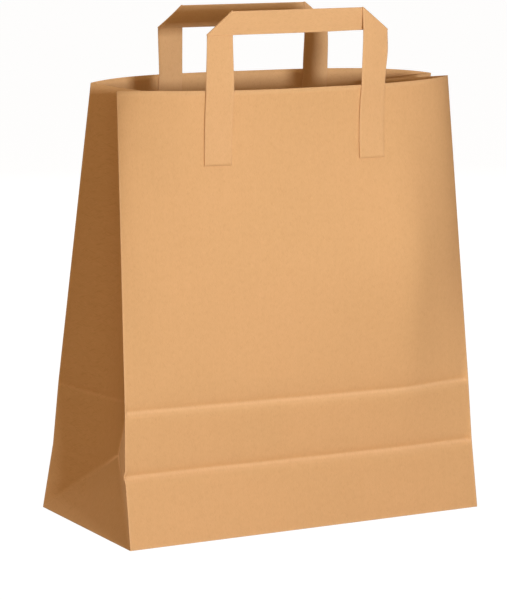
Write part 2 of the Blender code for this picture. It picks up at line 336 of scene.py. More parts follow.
def read_table(table, along, height):
    """Points of a panel at shares of its width and heights along the sheet."""
    column = np.clip(along, 0.0, 1.0) * (TABLE_COLUMNS - 1)
    row = np.clip(height / SHEET_HEIGHT, 0.0, 1.0) * (TABLE_ROWS - 1)
    left = np.minimum(column.astype(int), TABLE_COLUMNS - 2)
    low = np.minimum(row.astype(int), TABLE_ROWS - 2)
    part_right = (column - left)[..., None]
    part_up = (row - low)[..., None]
    lower = table[low, left] * (1 - part_right) + table[low, left + 1] * part_right
    upper = table[low + 1, left] * (1 - part_right) + table[low + 1, left + 1] * part_right
    return lower * (1 - part_up) + upper * part_up


def meet_three(first, second, third, reach_first, reach_second, reach_third, side):
    """Point at given distances from three others, on the chosen side of their plane."""
    span = np.linalg.norm(second - first)
    along = (second - first) / span
    offset = third - first
    part = along @ offset
    across = offset - along * part
    across = across / np.linalg.norm(across)
    other = across @ offset
    x = (reach_first ** 2 - reach_second ** 2 + span ** 2) / (2 * span)
    y = (reach_first ** 2 - reach_third ** 2 + part ** 2 + other ** 2 - 2 * part * x) / (2 * other)
    z = math.sqrt(reach_first ** 2 - x ** 2 - y ** 2)
    return first + along * x + across * y + np.cross(along, across) * z * side


def gusset_centre(side, corner_front, corner_rear):
    """Apex of the bottom folds and top of the centre fold of one gusset."""
    apex = np.array([
        side * (BASE_WIDTH / 2 - GUSSET_APEX * math.sin(APEX_TILT)),
        0.0,
        GUSSET_APEX * math.cos(APEX_TILT),
    ])
    half = BASE_DEPTH / 2
    rise = SHEET_HEIGHT - GUSSET_APEX
    options = [
        meet_three(corner_front, corner_rear, apex, half, half, rise, turn)
        for turn in (1.0, -1.0)
    ]
    return apex, min(options, key=lambda point: point[0] * side)


GUSSET_CREASE = 0.0022
GUSSET_BULGE = 0.0010

# The right gusset is pulled open at its top: how far, and from what height
GUSSET_PULL = 0.016
PULL_START = 0.17


def gusset_half(edge, apex, top, rows, columns, pull):
    """Half a gusset, from a panel's edge to the centre fold, as an array.

    Under the diagonal fold lies the flat bottom triangle. Over it each row
    runs straight from the panel's edge to the diagonal or the centre fold. A
    crease and a slight bulge are then laid on along the half's own normal.
    """
    corner = edge[0]
    middle = np.array([corner[0], 0.0, 0.0])
    level = np.minimum(rows / GUSSET_APEX, 1.0)[:, None]
    climb = np.clip((rows - GUSSET_APEX) / (SHEET_HEIGHT - GUSSET_APEX), 0.0, 1.0)[:, None]
    fold = np.where(rows[:, None] < GUSSET_APEX, corner + (apex - corner) * level, apex + (top - apex) * climb)
    open_share = smooth_share((rows - PULL_START) / (SHEET_HEIGHT - PULL_START))
    fold = fold + open_share[:, None] * pull
    share = columns[None, :] / np.maximum(level, 1e-9)
    above = edge[:, None] + (fold - edge)[:, None] * np.minimum(share, 1.0)[..., None]
    below = corner + (middle - corner) * columns[None, :, None] + (apex - middle) * level[..., None]
    is_above = (columns[None, :] <= level)[..., None]
    points = np.where(is_above, above, below)
    across = top - edge[-1]
    upwards = top - apex
    normal = np.cross(across, upwards)
    normal = normal / np.linalg.norm(normal)
    normal = normal * np.sign(normal[0] * np.sign(-corner[0]))
    free = smooth_share(4.0 * columns * (1.0 - columns))[None, :]
    over = smooth_share((rows - GUSSET_APEX) / (UPPER_FOLD - GUSSET_APEX))[:, None]
    crease = GUSSET_CREASE * crease_form(rows - UPPER_FOLD)[:, None] * smooth_share(columns * 6.0)[None, :]
    bulge = GUSSET_BULGE * over * free
    points = points + ((crease - bulge) * over)[..., None] * normal
    return points


def body_rings(front, rear, rows, columns, shares):
    """Closed rings of points of the whole body, one ring for each row."""
    ones = np.ones_like(rows)
    grid_rows = np.repeat(rows[:, None], len(columns), axis=1)
    front_wall = read_table(front, np.repeat(columns[None, :], len(rows), axis=0), grid_rows)
    rear_wall = read_table(rear, np.repeat(columns[None, ::-1], len(rows), axis=0), grid_rows)
    parts = [front_wall]
    for side in (1.0, -1.0):
        share = ones * (1.0 if side > 0 else 0.0)
        edge_front = read_table(front, share, rows)
        edge_rear = read_table(rear, share, rows)
        apex, top = gusset_centre(side, edge_front[-1], edge_rear[-1])
        outwards = (edge_front[-1] + edge_rear[-1]) / 2 - top
        pull = outwards / np.linalg.norm(outwards) * (GUSSET_PULL if side > 0 else 0.0)
        half_front = gusset_half(edge_front, apex, top, rows, shares, pull)
        half_rear = gusset_half(edge_rear, apex, top, rows, shares, pull)
        if side > 0:
            parts += [half_front[:, 1:], half_rear[:, ::-1][:, 1:], rear_wall[:, 1:]]
        else:
            parts += [half_rear[:, 1:], half_front[:, ::-1][:, 1:-1]]
    return np.concatenate(parts, axis=1)


def grid_faces(row_count, column_count, closed):
    """Faces of a grid of points as index rows, closed round its columns or not."""
    span = column_count if closed else column_count - 1
    row, column = np.meshgrid(np.arange(row_count - 1), np.arange(span), indexing="ij")
    following = (column + 1) % column_count
    low = row * column_count
    high = low + column_count
    faces = np.stack([low + column, low + following, high + following, high + column], axis=-1)
    return faces.reshape(-1, 4)


def split_faces(faces, rising):
    """Each four-sided face as two triangles, cut along one diagonal or the other."""
    first = np.where(rising[:, None], faces[:, [0, 1, 2]], faces[:, [0, 1, 3]])
    second = np.where(rising[:, None], faces[:, [0, 2, 3]], faces[:, [1, 2, 3]])
    return np.concatenate([first, second])


def mesh_object(name, points, faces, material, places=None):
    """A named object from an array of points and one of faces.

    Places are the flat sheet's own coordinates for each corner of each face,
    and become the UV map that the paper's grain follows.
    """
    mesh = bpy.data.meshes.new(name)
    mesh.vertices.add(len(points))
    mesh.vertices.foreach_set("co", np.asarray(points, dtype=np.float32).ravel())
    sides = faces.shape[1]
    mesh.loops.add(faces.size)
    mesh.loops.foreach_set("vertex_index", faces.astype(np.int32).ravel())
    mesh.polygons.add(len(faces))
    mesh.polygons.foreach_set("loop_start", (np.arange(len(faces)) * sides).astype(np.int32))
    mesh.polygons.foreach_set("use_smooth", np.ones(len(faces), dtype=bool))
    if places is not None:
        sheet = mesh.uv_layers.new(name="sheet")
        sheet.data.foreach_set("uv", np.asarray(places, dtype=np.float32).ravel())
    mesh.update(calc_edges=True)
    mesh.validate()
    mesh.materials.append(material)
    item = bpy.data.objects.new(name, mesh)
    bpy.context.scene.collection.objects.link(item)
    return item


def add_mask(item, name, values):
    """A named share for each point, for the material to read."""
    layer = item.data.attributes.new(name, "FLOAT", "POINT")
    layer.data.foreach_set("value", np.asarray(values, dtype=np.float32).ravel())


# Folds are lightened, partly as rubbed paper and partly as a painted highlight, most round the point where the
# gusset's folds meet
FOLD_RUB_AND_HIGHLIGHT = 0.25
CREASE_RUB_AND_HIGHLIGHT = 1.6
APEX_RUB_AND_HIGHLIGHT_REACH = 0.014

# Painted highlight band, partly rubbed paper, under each crease of the panels where the paper faces up: its place
# below and half breadth
CREASE_RUB_AND_HIGHLIGHT_BAND = (0.0014, 0.0015)


def fold_rub_and_highlight_mask(rows, columns, shares):
    """How much each ring point is lightened, as rubbed paper and as painted highlight: most on a fold line near a
    gusset's apex.
    """
    def near(distance):
        return np.exp(-((distance / 0.0011) ** 2))

    across_panel = np.maximum(near(columns * BASE_WIDTH), near((1.0 - columns) * BASE_WIDTH))
    half = BASE_DEPTH / 2
    low = rows[:, None] < GUSSET_APEX
    centre = np.where(low, 0.0, near((1.0 - shares) * half)[None, :])
    across_half = np.maximum(near(shares * half)[None, :], centre)
    diagonal = near((rows[:, None] / GUSSET_APEX - shares[None, :]) * GUSSET_APEX * 0.7)
    panel_rows = np.maximum(near(rows), 0.6 * near(SHEET_HEIGHT - rows))
    # Painted highlight bands, partly rubbed paper, just under each crease where the paper faces up
    panel_rows += CREASE_RUB_AND_HIGHLIGHT * groove(rows, LOWER_FOLD - CREASE_RUB_AND_HIGHLIGHT_BAND[0], CREASE_RUB_AND_HIGHLIGHT_BAND[1])
    panel_rows += CREASE_RUB_AND_HIGHLIGHT * groove(rows, UPPER_FOLD - CREASE_RUB_AND_HIGHLIGHT_BAND[0], CREASE_RUB_AND_HIGHLIGHT_BAND[1])
    gusset_rows = np.maximum(near(rows - UPPER_FOLD + 0.0008), near(rows))
    panel = np.maximum(panel_rows[:, None], across_panel[None, :])
    half_mask = np.maximum(gusset_rows[:, None], across_half)
    half_mask = np.maximum(half_mask, np.where(low, diagonal, 0.0))
    # Painted highlight, with rubbing, grows towards the point where the gusset's folds meet
    from_apex = (rows[:, None] - GUSSET_APEX) ** 2 + ((1.0 - shares[None, :]) * half) ** 2
    half_mask = half_mask * (FOLD_RUB_AND_HIGHLIGHT + (1.0 - FOLD_RUB_AND_HIGHLIGHT) * np.exp(-from_apex / APEX_RUB_AND_HIGHLIGHT_REACH ** 2))
    panel = panel * FOLD_RUB_AND_HIGHLIGHT
    return np.concatenate([
        panel,
        half_mask[:, 1:],
        half_mask[:, ::-1][:, 1:],
        panel[:, 1:],
        half_mask[:, 1:],
        half_mask[:, ::-1][:, 1:-1],
    ], axis=1)


def ring_places(columns, shares):
    """Distance round the flat sheet of each ring point, with the closing point."""
    half = BASE_DEPTH / 2
    gusset = np.concatenate([shares * half, half + shares[1:] * half])
    flipped = BASE_DEPTH - gusset[::-1]
    panel = columns * BASE_WIDTH
    return np.concatenate([
        panel,
        BASE_WIDTH + gusset[1:],
        BASE_WIDTH + BASE_DEPTH + panel[1:],
        2 * BASE_WIDTH + BASE_DEPTH + flipped[1:],
    ])


# The block bottom: how far a wall turns under before it is flat, and how far
# each long flap reaches past the middle line
TURN_UNDER = 0.0020
FLAP_OVERLAP = 0.0150
FLAP_COLUMNS = 24
FLAP_ROWS = 8


def slanted_plate(near, far, start, level, outwards):
    """A flat plate with mitred ends, from a base edge towards the middle.

    Each point is the base edge's point at its share, moved in by its distance.
    Near is half the length of the base edge, far that of the free edge, start
    is the base edge's place, and outwards is -1 for a plate that faces down.
    """
    share = np.linspace(-1.0, 1.0, FLAP_COLUMNS + 1)[None, :]
    depth = np.linspace(0.0, 1.0, FLAP_ROWS + 1)[:, None]
    half = near + (far - near) * depth
    points = np.zeros((FLAP_ROWS + 1, FLAP_COLUMNS + 1, 3))
    points[..., 0] = half * share
    points[..., 1] = start + (near - far) * depth
    points[..., 2] = level
    faces = grid_faces(FLAP_ROWS + 1, FLAP_COLUMNS + 1, False)
    if outwards < 0:
        faces = faces[:, ::-1]
    return points.reshape(-1, 3), faces


def bottom_flaps():
    """Flaps of the block bottom, all plates of one sheet's thickness.

    Under the floor lie the rear flap and, lowest, the front flap, which
    overlap at the middle. On the floor inside lie the two side tucks.
    """
    edge = BASE_DEPTH / 2 - SHEET_THICKNESS
    long_half = BASE_WIDTH / 2 - SHEET_THICKNESS
    reach = BASE_DEPTH / 2 + FLAP_OVERLAP
    plates = []
    for turn, level in ((1.0, 0.0), (-1.0, SHEET_THICKNESS)):
        points, faces = slanted_plate(long_half, long_half - reach, -edge, level, -1.0)
        plates.append((points * np.array([turn, turn, 1.0]), faces))
    tuck_level = 4 * SHEET_THICKNESS
    for turn in (1.0, -1.0):
        points, faces = slanted_plate(edge - 0.002, 0.008, -long_half + 0.002, tuck_level, 1.0)
        turned = np.stack([-turn * points[:, 1], turn * points[:, 0], points[:, 2]], axis=1)
        plates.append((turned, faces))
    starts = np.cumsum([0] + [len(points) for points, _ in plates])
    all_points = np.concatenate([points for points, _ in plates])
    quads = np.concatenate([faces + start for (_, faces), start in zip(plates, starts)])
    return all_points, split_faces(quads, np.ones(len(quads), dtype=bool))


def make_bag(front, rear, material):
    """The folded sheet: four walls and the bottom, 0.15 mm thick."""
    rows = graded(0.0, SHEET_HEIGHT, (0.0, LOWER_FOLD, GUSSET_APEX, UPPER_FOLD))
    rows[np.argmin(np.abs(rows - GUSSET_APEX))] = GUSSET_APEX
    shares = rows[rows <= GUSSET_APEX] / GUSSET_APEX
    _, left_inner, right_inner, right_outer = leg_edges(FRONT)
    marks = (0.0, left_inner + DENT_CLEAR, right_inner - DENT_CLEAR, right_outer + DENT_CLEAR, BASE_WIDTH)
    seam_edges = (SEAM_PLACE, SEAM_PLACE + SEAM_BREADTH)
    columns = graded(0.0, BASE_WIDTH, marks + seam_edges) / BASE_WIDTH
    rings = body_rings(front, rear, rows, columns, shares)
    count = rings.shape[1]
    faces = grid_faces(len(rows), count, True)
    row = faces[:, 0] // count
    column = faces[:, 0] % count
    panel_span = len(columns) - 1
    half_span = len(shares) - 1
    in_first = (column >= panel_span) & (column < panel_span + half_span)
    second_start = 2 * panel_span + 2 * half_span
    in_third = (column >= second_start) & (column < second_start + half_span)
    walls = split_faces(faces, in_first | in_third)
    around = ring_places(columns, shares)
    wrap = np.where((walls % count == 0) & (np.max(walls % count, axis=1) > 1)[:, None], count, walls % count)
    places = np.stack([around[wrap], rows[walls // count]], axis=-1)
    bottom_rows = 2 * half_span
    ring = rings[0]
    left = ring[(count - np.arange(bottom_rows + 1)) % count]
    right = ring[panel_span + np.arange(bottom_rows + 1)]
    blend = columns[None, :, None]
    floor_grid = left[:, None] * (1.0 - blend) + right[:, None] * blend
    from_edge = np.minimum(BASE_WIDTH / 2 - np.abs(floor_grid[..., 0]), BASE_DEPTH / 2 - np.abs(floor_grid[..., 1]))
    floor_grid[..., 2] = 2 * SHEET_THICKNESS * smooth_share(from_edge / TURN_UNDER)
    inner = floor_grid[1:-1, 1:-1].reshape(-1, 3)
    number = np.zeros((bottom_rows + 1, panel_span + 1), dtype=int)
    number[1:-1, 1:-1] = rings.shape[0] * count + np.arange(len(inner)).reshape(bottom_rows - 1, panel_span - 1)
    number[0] = np.arange(panel_span + 1)
    number[-1] = panel_span + bottom_rows + panel_span - np.arange(panel_span + 1)
    number[:, 0] = (count - np.arange(bottom_rows + 1)) % count
    number[:, -1] = panel_span + np.arange(bottom_rows + 1)
    base = np.stack([number[:-1, :-1], number[1:, :-1], number[1:, 1:], number[:-1, 1:]], axis=-1).reshape(-1, 4)
    base = split_faces(base, np.ones(len(base), dtype=bool))
    flap_points, flap_faces = bottom_flaps()
    flap_start = rings.shape[0] * count + len(inner)
    points = np.concatenate([rings.reshape(-1, 3), inner, flap_points])
    base = np.concatenate([base, flap_faces + flap_start])
    base_places = points[base][..., :2] + np.array([BASE_WIDTH, -BASE_DEPTH])
    item = mesh_object(
        "paper_bag",
        points,
        np.concatenate([walls, base]),
        material,
        np.concatenate([places, base_places]),
    )
    # Lightening along folds and creases: rubbed paper plus painted highlight
    mask = np.concatenate([fold_rub_and_highlight_mask(rows, columns, shares).ravel(), np.zeros(len(inner) + len(flap_points))])
    add_mask(item, "fold", mask)
    across_rear = columns * BASE_WIDTH
    in_seam = (across_rear >= SEAM_PLACE) & (across_rear <= SEAM_PLACE + SEAM_BREADTH)
    rear_start = panel_span + bottom_rows
    seam_columns = rear_start + panel_span - np.flatnonzero(in_seam)
    seam = (np.arange(len(rows))[:, None] * count + seam_columns[None, :]).ravel()
    item.vertex_groups.new(name="double").add(seam.tolist(), 1.0, "REPLACE")
    thickness = item.modifiers.new("thickness", "SOLIDIFY")
    thickness.thickness = 2.0 * SHEET_THICKNESS
    thickness.vertex_group = "double"
    thickness.thickness_vertex_group = 0.5
    thickness.offset = -1.0
    thickness.use_even_offset = True
    thickness.use_rim = True
    return item


# Cross-section of the folded tape
TAPE_POINTS = 15
BEND_STEPS = 6
LEG_STEPS = 44
GRIP_STEPS = 48
PROBE_STEP = 0.002

# How far the right leg springs open from the grip that it is folded over, and
# how far the grip's end gives way behind it
SPRING = 0.0009
GIVE = 0.0014


def handle_place(panel, table, across, height, lift):
    """Points of a handle from places on its panel and lifts towards the front.

    Below the rim they follow the panel. Above it they stand upright and ease
    into the flat plane through both legs.
    """
    along = across / BASE_WIDTH
    probe = PROBE_STEP / BASE_WIDTH
    below = np.minimum(height, SHEET_HEIGHT)
    low = np.clip(below, PROBE_STEP, SHEET_HEIGHT - PROBE_STEP)

    def lifted(share, level, middle, amount):
        here = read_table(table, share, level)
        sideways = read_table(table, share + probe, level) - read_table(table, share - probe, level)
        upwards = read_table(table, share, middle + PROBE_STEP) - read_table(table, share, middle - PROBE_STEP)
        facing = np.cross(sideways, upwards)
        facing = facing / np.linalg.norm(facing, axis=-1, keepdims=True)
        wall = SHEET_THICKNESS if panel["inward"] < 0 else 0.0
        stand_off = wall + GLUE_GAP + TAPE_THICKNESS / 2
        return here + facing * (stand_off + amount)[..., None]

    free = np.maximum(height - SHEET_HEIGHT, 0.0)
    ease = smooth_share(free / (panel["handle_rise"] - GRIP_DEPTH))
    point = lifted(along, below, low, lift * ease)
    middle = 0.5 + panel["handle_offset"] / BASE_WIDTH
    reach = (HANDLE_WIDTH - TAPE_WIDTH) / 2 / BASE_WIDTH
    rim = np.full_like(along, SHEET_HEIGHT)
    near_rim = rim - PROBE_STEP
    left = lifted(np.full_like(along, middle - reach), rim, near_rim, lift)
    right = lifted(np.full_like(along, middle + reach), rim, near_rim, lift)
    flat = left + (right - left) * ((along - middle + reach) / (2 * reach))[..., None]
    point = point * (1.0 - ease[..., None]) + flat * ease[..., None]
    point[..., 2] += free
    return point


def tape_route(panel, across):
    """Places of the tape's middle surface, for shares across it.

    The tape runs up one leg, is folded over the diagonal at the corner, runs
    along the grip, is folded again and runs down the other leg. At a fold it
    rolls round a cylinder half as thick as the step between its layers.
    Heights are laid out for a square fold, and then made as low as the grip.
    """
    middle = BASE_WIDTH / 2 + panel["handle_offset"]
    left = middle - HANDLE_WIDTH / 2
    right = middle + HANDLE_WIDTH / 2
    squeeze = GRIP_DEPTH / TAPE_WIDTH
    top = 0.0
    bottom = -HANDLE_LENGTH / squeeze
    low_corner = top - TAPE_WIDTH
    width = across * TAPE_WIDTH
    radius = LAYER_STEP / 2
    leg = np.linspace(0.0, 1.0, LEG_STEPS + 1)[:, None]
    turn = np.linspace(0.0, math.pi, BEND_STEPS + 1)[1:-1, None]
    grip = np.linspace(0.0, 1.0, GRIP_STEPS + 1)[:, None]
    fold_height = (low_corner + width)[None, :]
    outwards = radius * np.sin(turn) / math.sqrt(2.0)
    ones = np.ones_like(width)[None, :]
    up_x = (left + width)[None, :] * np.ones_like(leg)
    up_y = bottom + (fold_height - bottom) * leg
    first_x = (left + width)[None, :] - outwards
    first_y = fold_height + outwards
    first_lift = radius * (1.0 - np.cos(turn)) * ones
    along_x = (left + width)[None, :] * (1.0 - grip) + (right - width)[None, :] * grip
    along_y = fold_height * np.ones_like(grip)
    second_x = (right - width)[None, :] + outwards
    second_y = fold_height + outwards
    down_x = (right - width)[None, :] * np.ones_like(leg)
    down_y = fold_height + (bottom - fold_height) * leg
    from_fold = (fold_height - down_y) / TAPE_WIDTH
    sprung = SPRING * smooth_share(from_fold) * (1.0 - smooth_share((from_fold - 1.0) / 1.6))
    to_fold = np.maximum(along_x - (right - TAPE_WIDTH - 2.0 * TAPE_WIDTH), 0.0) / TAPE_WIDTH
    given = GIVE * smooth_share(to_fold / 2.0) * smooth_share((top - along_y) / TAPE_WIDTH)
    across_all = np.concatenate([up_x, first_x, along_x, second_x, down_x])
    height_all = np.concatenate([up_y, first_y, along_y, second_y, down_y]) * squeeze
    lift_all = np.concatenate([
        np.zeros_like(up_x),
        first_lift,
        LAYER_STEP - given,
        LAYER_STEP + first_lift,
        2 * LAYER_STEP + sprung,
    ])
    return across_all, height_all + SHEET_HEIGHT + panel["handle_rise"], lift_all


def make_handle(name, panel, table, curl, material):
    """One handle: a tape with rounded long edges, carried along its route."""
    angle = np.linspace(0.0, math.pi, TAPE_POINTS)
    across = (1.0 - np.cos(angle)) / 2.0
    place_across, place_height, lift = tape_route(panel, across)
    free = smooth_share((place_height - SHEET_HEIGHT) / (panel["handle_rise"] - GRIP_DEPTH))
    crown = 4.0 * across * (1.0 - across)
    lift = lift + curl * free * crown[None, :]
    middle = handle_place(panel, table, place_across, place_height, lift)
    run = np.gradient(middle, axis=0)
    side = np.gradient(middle, axis=1)
    normal = np.cross(side, run)
    normal = normal / np.linalg.norm(normal, axis=-1, keepdims=True)
    half = TAPE_THICKNESS / 2
    edge = np.minimum(across, 1.0 - across) * TAPE_WIDTH
    round_off = np.sqrt(np.clip(1.0 - (1.0 - np.minimum(edge / half, 1.0)) ** 2, 0.0, 1.0))
    front_side = middle + normal * (half * round_off)[None, :, None]
    back_side = middle - normal * (half * round_off)[None, :, None]
    rings = np.concatenate([front_side, back_side[:, -2:0:-1]], axis=1)
    count = rings.shape[1]
    faces = grid_faces(len(rings), count, True)
    ends = []
    for start, flip in ((0, False), ((len(rings) - 1) * count, True)):
        first = start + np.arange(TAPE_POINTS)
        other = start + np.concatenate([[0], count - np.arange(1, TAPE_POINTS - 1), [TAPE_POINTS - 1]])
        quads = np.stack([first[:-1], other[:-1], other[1:], first[1:]], axis=1)
        ends.append(quads[:, ::-1] if flip else quads)
    faces = np.concatenate([faces] + ends)
    length = np.concatenate([[0.0], np.cumsum(np.linalg.norm(np.diff(middle[:, TAPE_POINTS // 2], axis=0), axis=1))])
    ring_across = np.concatenate([across, 1.0 - across[1:-1]]) * TAPE_WIDTH
    places = np.stack([ring_across[faces % count], length[faces // count]], axis=-1)
    item = mesh_object(name, rings.reshape(-1, 3), faces, material, places)
    near_edge = np.exp(-((edge / 0.0006) ** 2))
    mask = np.concatenate([near_edge, near_edge[-2:0:-1]])[None, :] * np.ones((len(rings), 1))
    add_mask(item, "fold", mask * FOLD_RUB_AND_HIGHLIGHT)
    return item


def new_group(name, inputs, outputs):
    """An empty shader node group with named inputs and outputs."""
    group = bpy.data.node_groups.new(name, "ShaderNodeTree")
    for label, kind, value in inputs:
        socket = group.interface.new_socket(name=label, in_out="INPUT", socket_type=kind)
        if value is not None:
            socket.default_value = value
    for label, kind in outputs:
        group.interface.new_socket(name=label, in_out="OUTPUT", socket_type=kind)
    return group


def add_node(tree, kind, settings=None, values=None):
    """A node with its settings and unlinked input values."""
    node = tree.nodes.new(kind)
    for label, value in (settings or {}).items():
        setattr(node, label, value)
    for label, value in (values or {}).items():
        node.inputs[label].default_value = value
    return node


def math_node(tree, operation, first, second):
    """A sum on two values, each a socket or a number."""
    node = tree.nodes.new("ShaderNodeMath")
    node.operation = operation
    for socket, value in zip(node.inputs, (first, second)):
        if isinstance(value, (int, float)):
            socket.default_value = value
        else:
            tree.links.new(value, socket)
    return node.outputs[0]


FIBRE_DIRECTIONS = (74.0, 96.0, 121.0, 58.0)
FIBRE_LENGTH = 0.0017
FIBRE_BREADTH = 0.00016


def fibre_group():
    """Fine fibres: noise drawn out in four directions and cut to thin flecks."""
    group = new_group(
        "paper_fibres",
        [("Place", "NodeSocketVector", None)],
        [("Dark Flecks", "NodeSocketFloat"), ("Light Flecks", "NodeSocketFloat"), ("Height", "NodeSocketFloat")],
    )
    start = group.nodes.new("NodeGroupInput")
    end = group.nodes.new("NodeGroupOutput")
    flecks = []
    for number, degrees in enumerate(FIBRE_DIRECTIONS):
        turned = add_node(group, "ShaderNodeMapping", {"vector_type": "TEXTURE"}, {
            "Rotation": (0.0, 0.0, math.radians(degrees)),
            "Scale": (FIBRE_LENGTH, FIBRE_BREADTH, 1.0),
            "Location": (0.37 * number, 0.19 * number, 0.0),
        })
        group.links.new(start.outputs["Place"], turned.inputs["Vector"])
        noise = add_node(group, "ShaderNodeTexNoise", {"noise_dimensions": "2D"}, {
            "Scale": 0.5,
            "Detail": 1.5,
            "Roughness": 0.45,
            "Distortion": 0.35,
        })
        group.links.new(turned.outputs["Vector"], noise.inputs["Vector"])
        cut = add_node(group, "ShaderNodeMapRange", values={
            "From Min": 0.60,
            "From Max": 0.74,
        })
        group.links.new(noise.outputs["Fac"], cut.inputs["Value"])
        flecks.append(cut.outputs["Result"])
    dark = math_node(group, "MAXIMUM", flecks[0], flecks[2])
    light = math_node(group, "MAXIMUM", flecks[1], flecks[3])
    both = math_node(group, "ADD", dark, light)
    group.links.new(dark, end.inputs["Dark Flecks"])
    group.links.new(light, end.inputs["Light Flecks"])
    group.links.new(both, end.inputs["Height"])
    return group


def tone_group(fibres):
    """Colour, roughness and height of kraft paper from its place on the sheet."""
    group = new_group(
        "kraft_tone",
        [
            ("Place", "NodeSocketVector", None),
            ("Base", "NodeSocketColor", (0.69, 0.40, 0.19, 1.0)),
            ("Fold", "NodeSocketFloat", 0.0),
            ("Rough", "NodeSocketFloat", 0.85),
        ],
        [("Color", "NodeSocketColor"), ("Roughness", "NodeSocketFloat"), ("Height", "NodeSocketFloat")],
    )
    start = group.nodes.new("NodeGroupInput")
    end = group.nodes.new("NodeGroupOutput")
    links = group.links
    grain = add_node(group, "ShaderNodeGroup", {"node_tree": fibres})
    links.new(start.outputs["Place"], grain.inputs["Place"])

    def noise(scale, detail, stretch=(1.0, 1.0, 1.0)):
        mapping = add_node(group, "ShaderNodeMapping", values={"Scale": stretch})
        links.new(start.outputs["Place"], mapping.inputs["Vector"])
        texture = add_node(group, "ShaderNodeTexNoise", values={"Scale": scale, "Detail": detail, "Roughness": 0.55})
        links.new(mapping.outputs["Vector"], texture.inputs["Vector"])
        return texture.outputs["Fac"]

    def shade(colour, factor, tint, amount):
        """Mix a colour towards the same colour times a tint, by a share."""
        tinted = add_node(group, "ShaderNodeMix", {"data_type": "RGBA", "blend_type": "MULTIPLY"})
        tinted.inputs["Factor"].default_value = 1.0
        links.new(colour, tinted.inputs[6])
        tinted.inputs[7].default_value = (*tint, 1.0)
        mixed = add_node(group, "ShaderNodeMix", {"data_type": "RGBA"})
        links.new(math_node(group, "MULTIPLY", factor, amount), mixed.inputs["Factor"])
        links.new(colour, mixed.inputs[6])
        links.new(tinted.outputs[2], mixed.inputs[7])
        return mixed.outputs[2]

    def ranged(value, low, high):
        node = add_node(group, "ShaderNodeMapRange", values={"From Min": low, "From Max": high})
        links.new(value, node.inputs["Value"])
        return node.outputs["Result"]

    cloud = ranged(noise(11.0, 3.0), 0.35, 0.65)
    mottle = ranged(noise(220.0, 3.0), 0.3, 0.7)
    streak = ranged(noise(60.0, 2.0, (6.0, 0.35, 1.0)), 0.35, 0.65)
    colour = start.outputs["Base"]
    colour = shade(colour, cloud, (0.968, 0.975, 0.962), 1.0)
    colour = shade(colour, mottle, (0.980, 0.975, 0.966), 1.0)
    colour = shade(colour, streak, (0.991, 0.988, 0.983), 1.0)
    colour = shade(colour, grain.outputs["Dark Flecks"], (0.80, 0.74, 0.64), 0.36)
    colour = shade(colour, grain.outputs["Light Flecks"], (1.10, 1.13, 1.20), 0.36)
    # Folds and creases lighter: rubbed paper plus painted highlight
    colour = shade(colour, start.outputs["Fold"], (1.32, 1.46, 1.76), 1.0)
    links.new(colour, end.inputs["Color"])
    uneven = math_node(group, "MULTIPLY", math_node(group, "SUBTRACT", mottle, 0.5), 0.08)
    links.new(math_node(group, "ADD", start.outputs["Rough"], uneven), end.inputs["Roughness"])
    height = math_node(group, "MULTIPLY", mottle, 0.6)
    height = math_node(group, "ADD", height, math_node(group, "MULTIPLY", grain.outputs["Height"], 0.5))
    links.new(height, end.inputs["Height"])
    return group


def paper_material(name, tone, base, rough, bump_depth):
    """Kraft paper whose grain follows the flat sheet."""
    material = bpy.data.materials.new(name)
    material.use_nodes = True
    tree = material.node_tree
    shader = tree.nodes["Principled BSDF"]
    shader.inputs["Specular IOR Level"].default_value = 0.25
    place = add_node(tree, "ShaderNodeUVMap", {"uv_map": "sheet"})
    fold = add_node(tree, "ShaderNodeAttribute", {"attribute_name": "fold"})
    look = add_node(tree, "ShaderNodeGroup", {"node_tree": tone})
    look.inputs["Base"].default_value = (*base, 1.0)
    look.inputs["Rough"].default_value = rough
    bump = add_node(tree, "ShaderNodeBump", values={"Strength": 1.0, "Distance": bump_depth})
    tree.links.new(place.outputs["UV"], look.inputs["Place"])
    tree.links.new(fold.outputs["Fac"], look.inputs["Fold"])
    tree.links.new(look.outputs["Color"], shader.inputs["Base Color"])
    tree.links.new(look.outputs["Roughness"], shader.inputs["Roughness"])
    tree.links.new(look.outputs["Height"], bump.inputs["Height"])
    tree.links.new(bump.outputs["Normal"], shader.inputs["Normal"])
    return material


def seen_by_eye(tree):
    """Share that is 1 for rays from the camera or from gloss or glass."""
    path = tree.nodes.new("ShaderNodeLightPath")
    either = math_node(tree, "MAXIMUM", path.outputs["Is Camera Ray"], path.outputs["Is Glossy Ray"])
    return math_node(tree, "MAXIMUM", either, path.outputs["Is Transmission Ray"])


FLOOR_SIZE = 12.0
FLOOR_DROP = 0.0001
FLOOR_GLOW = 0.97
FLOOR_TINT = 0.11
FLOOR_BOUNCE = (0.60, 0.48, 0.34)


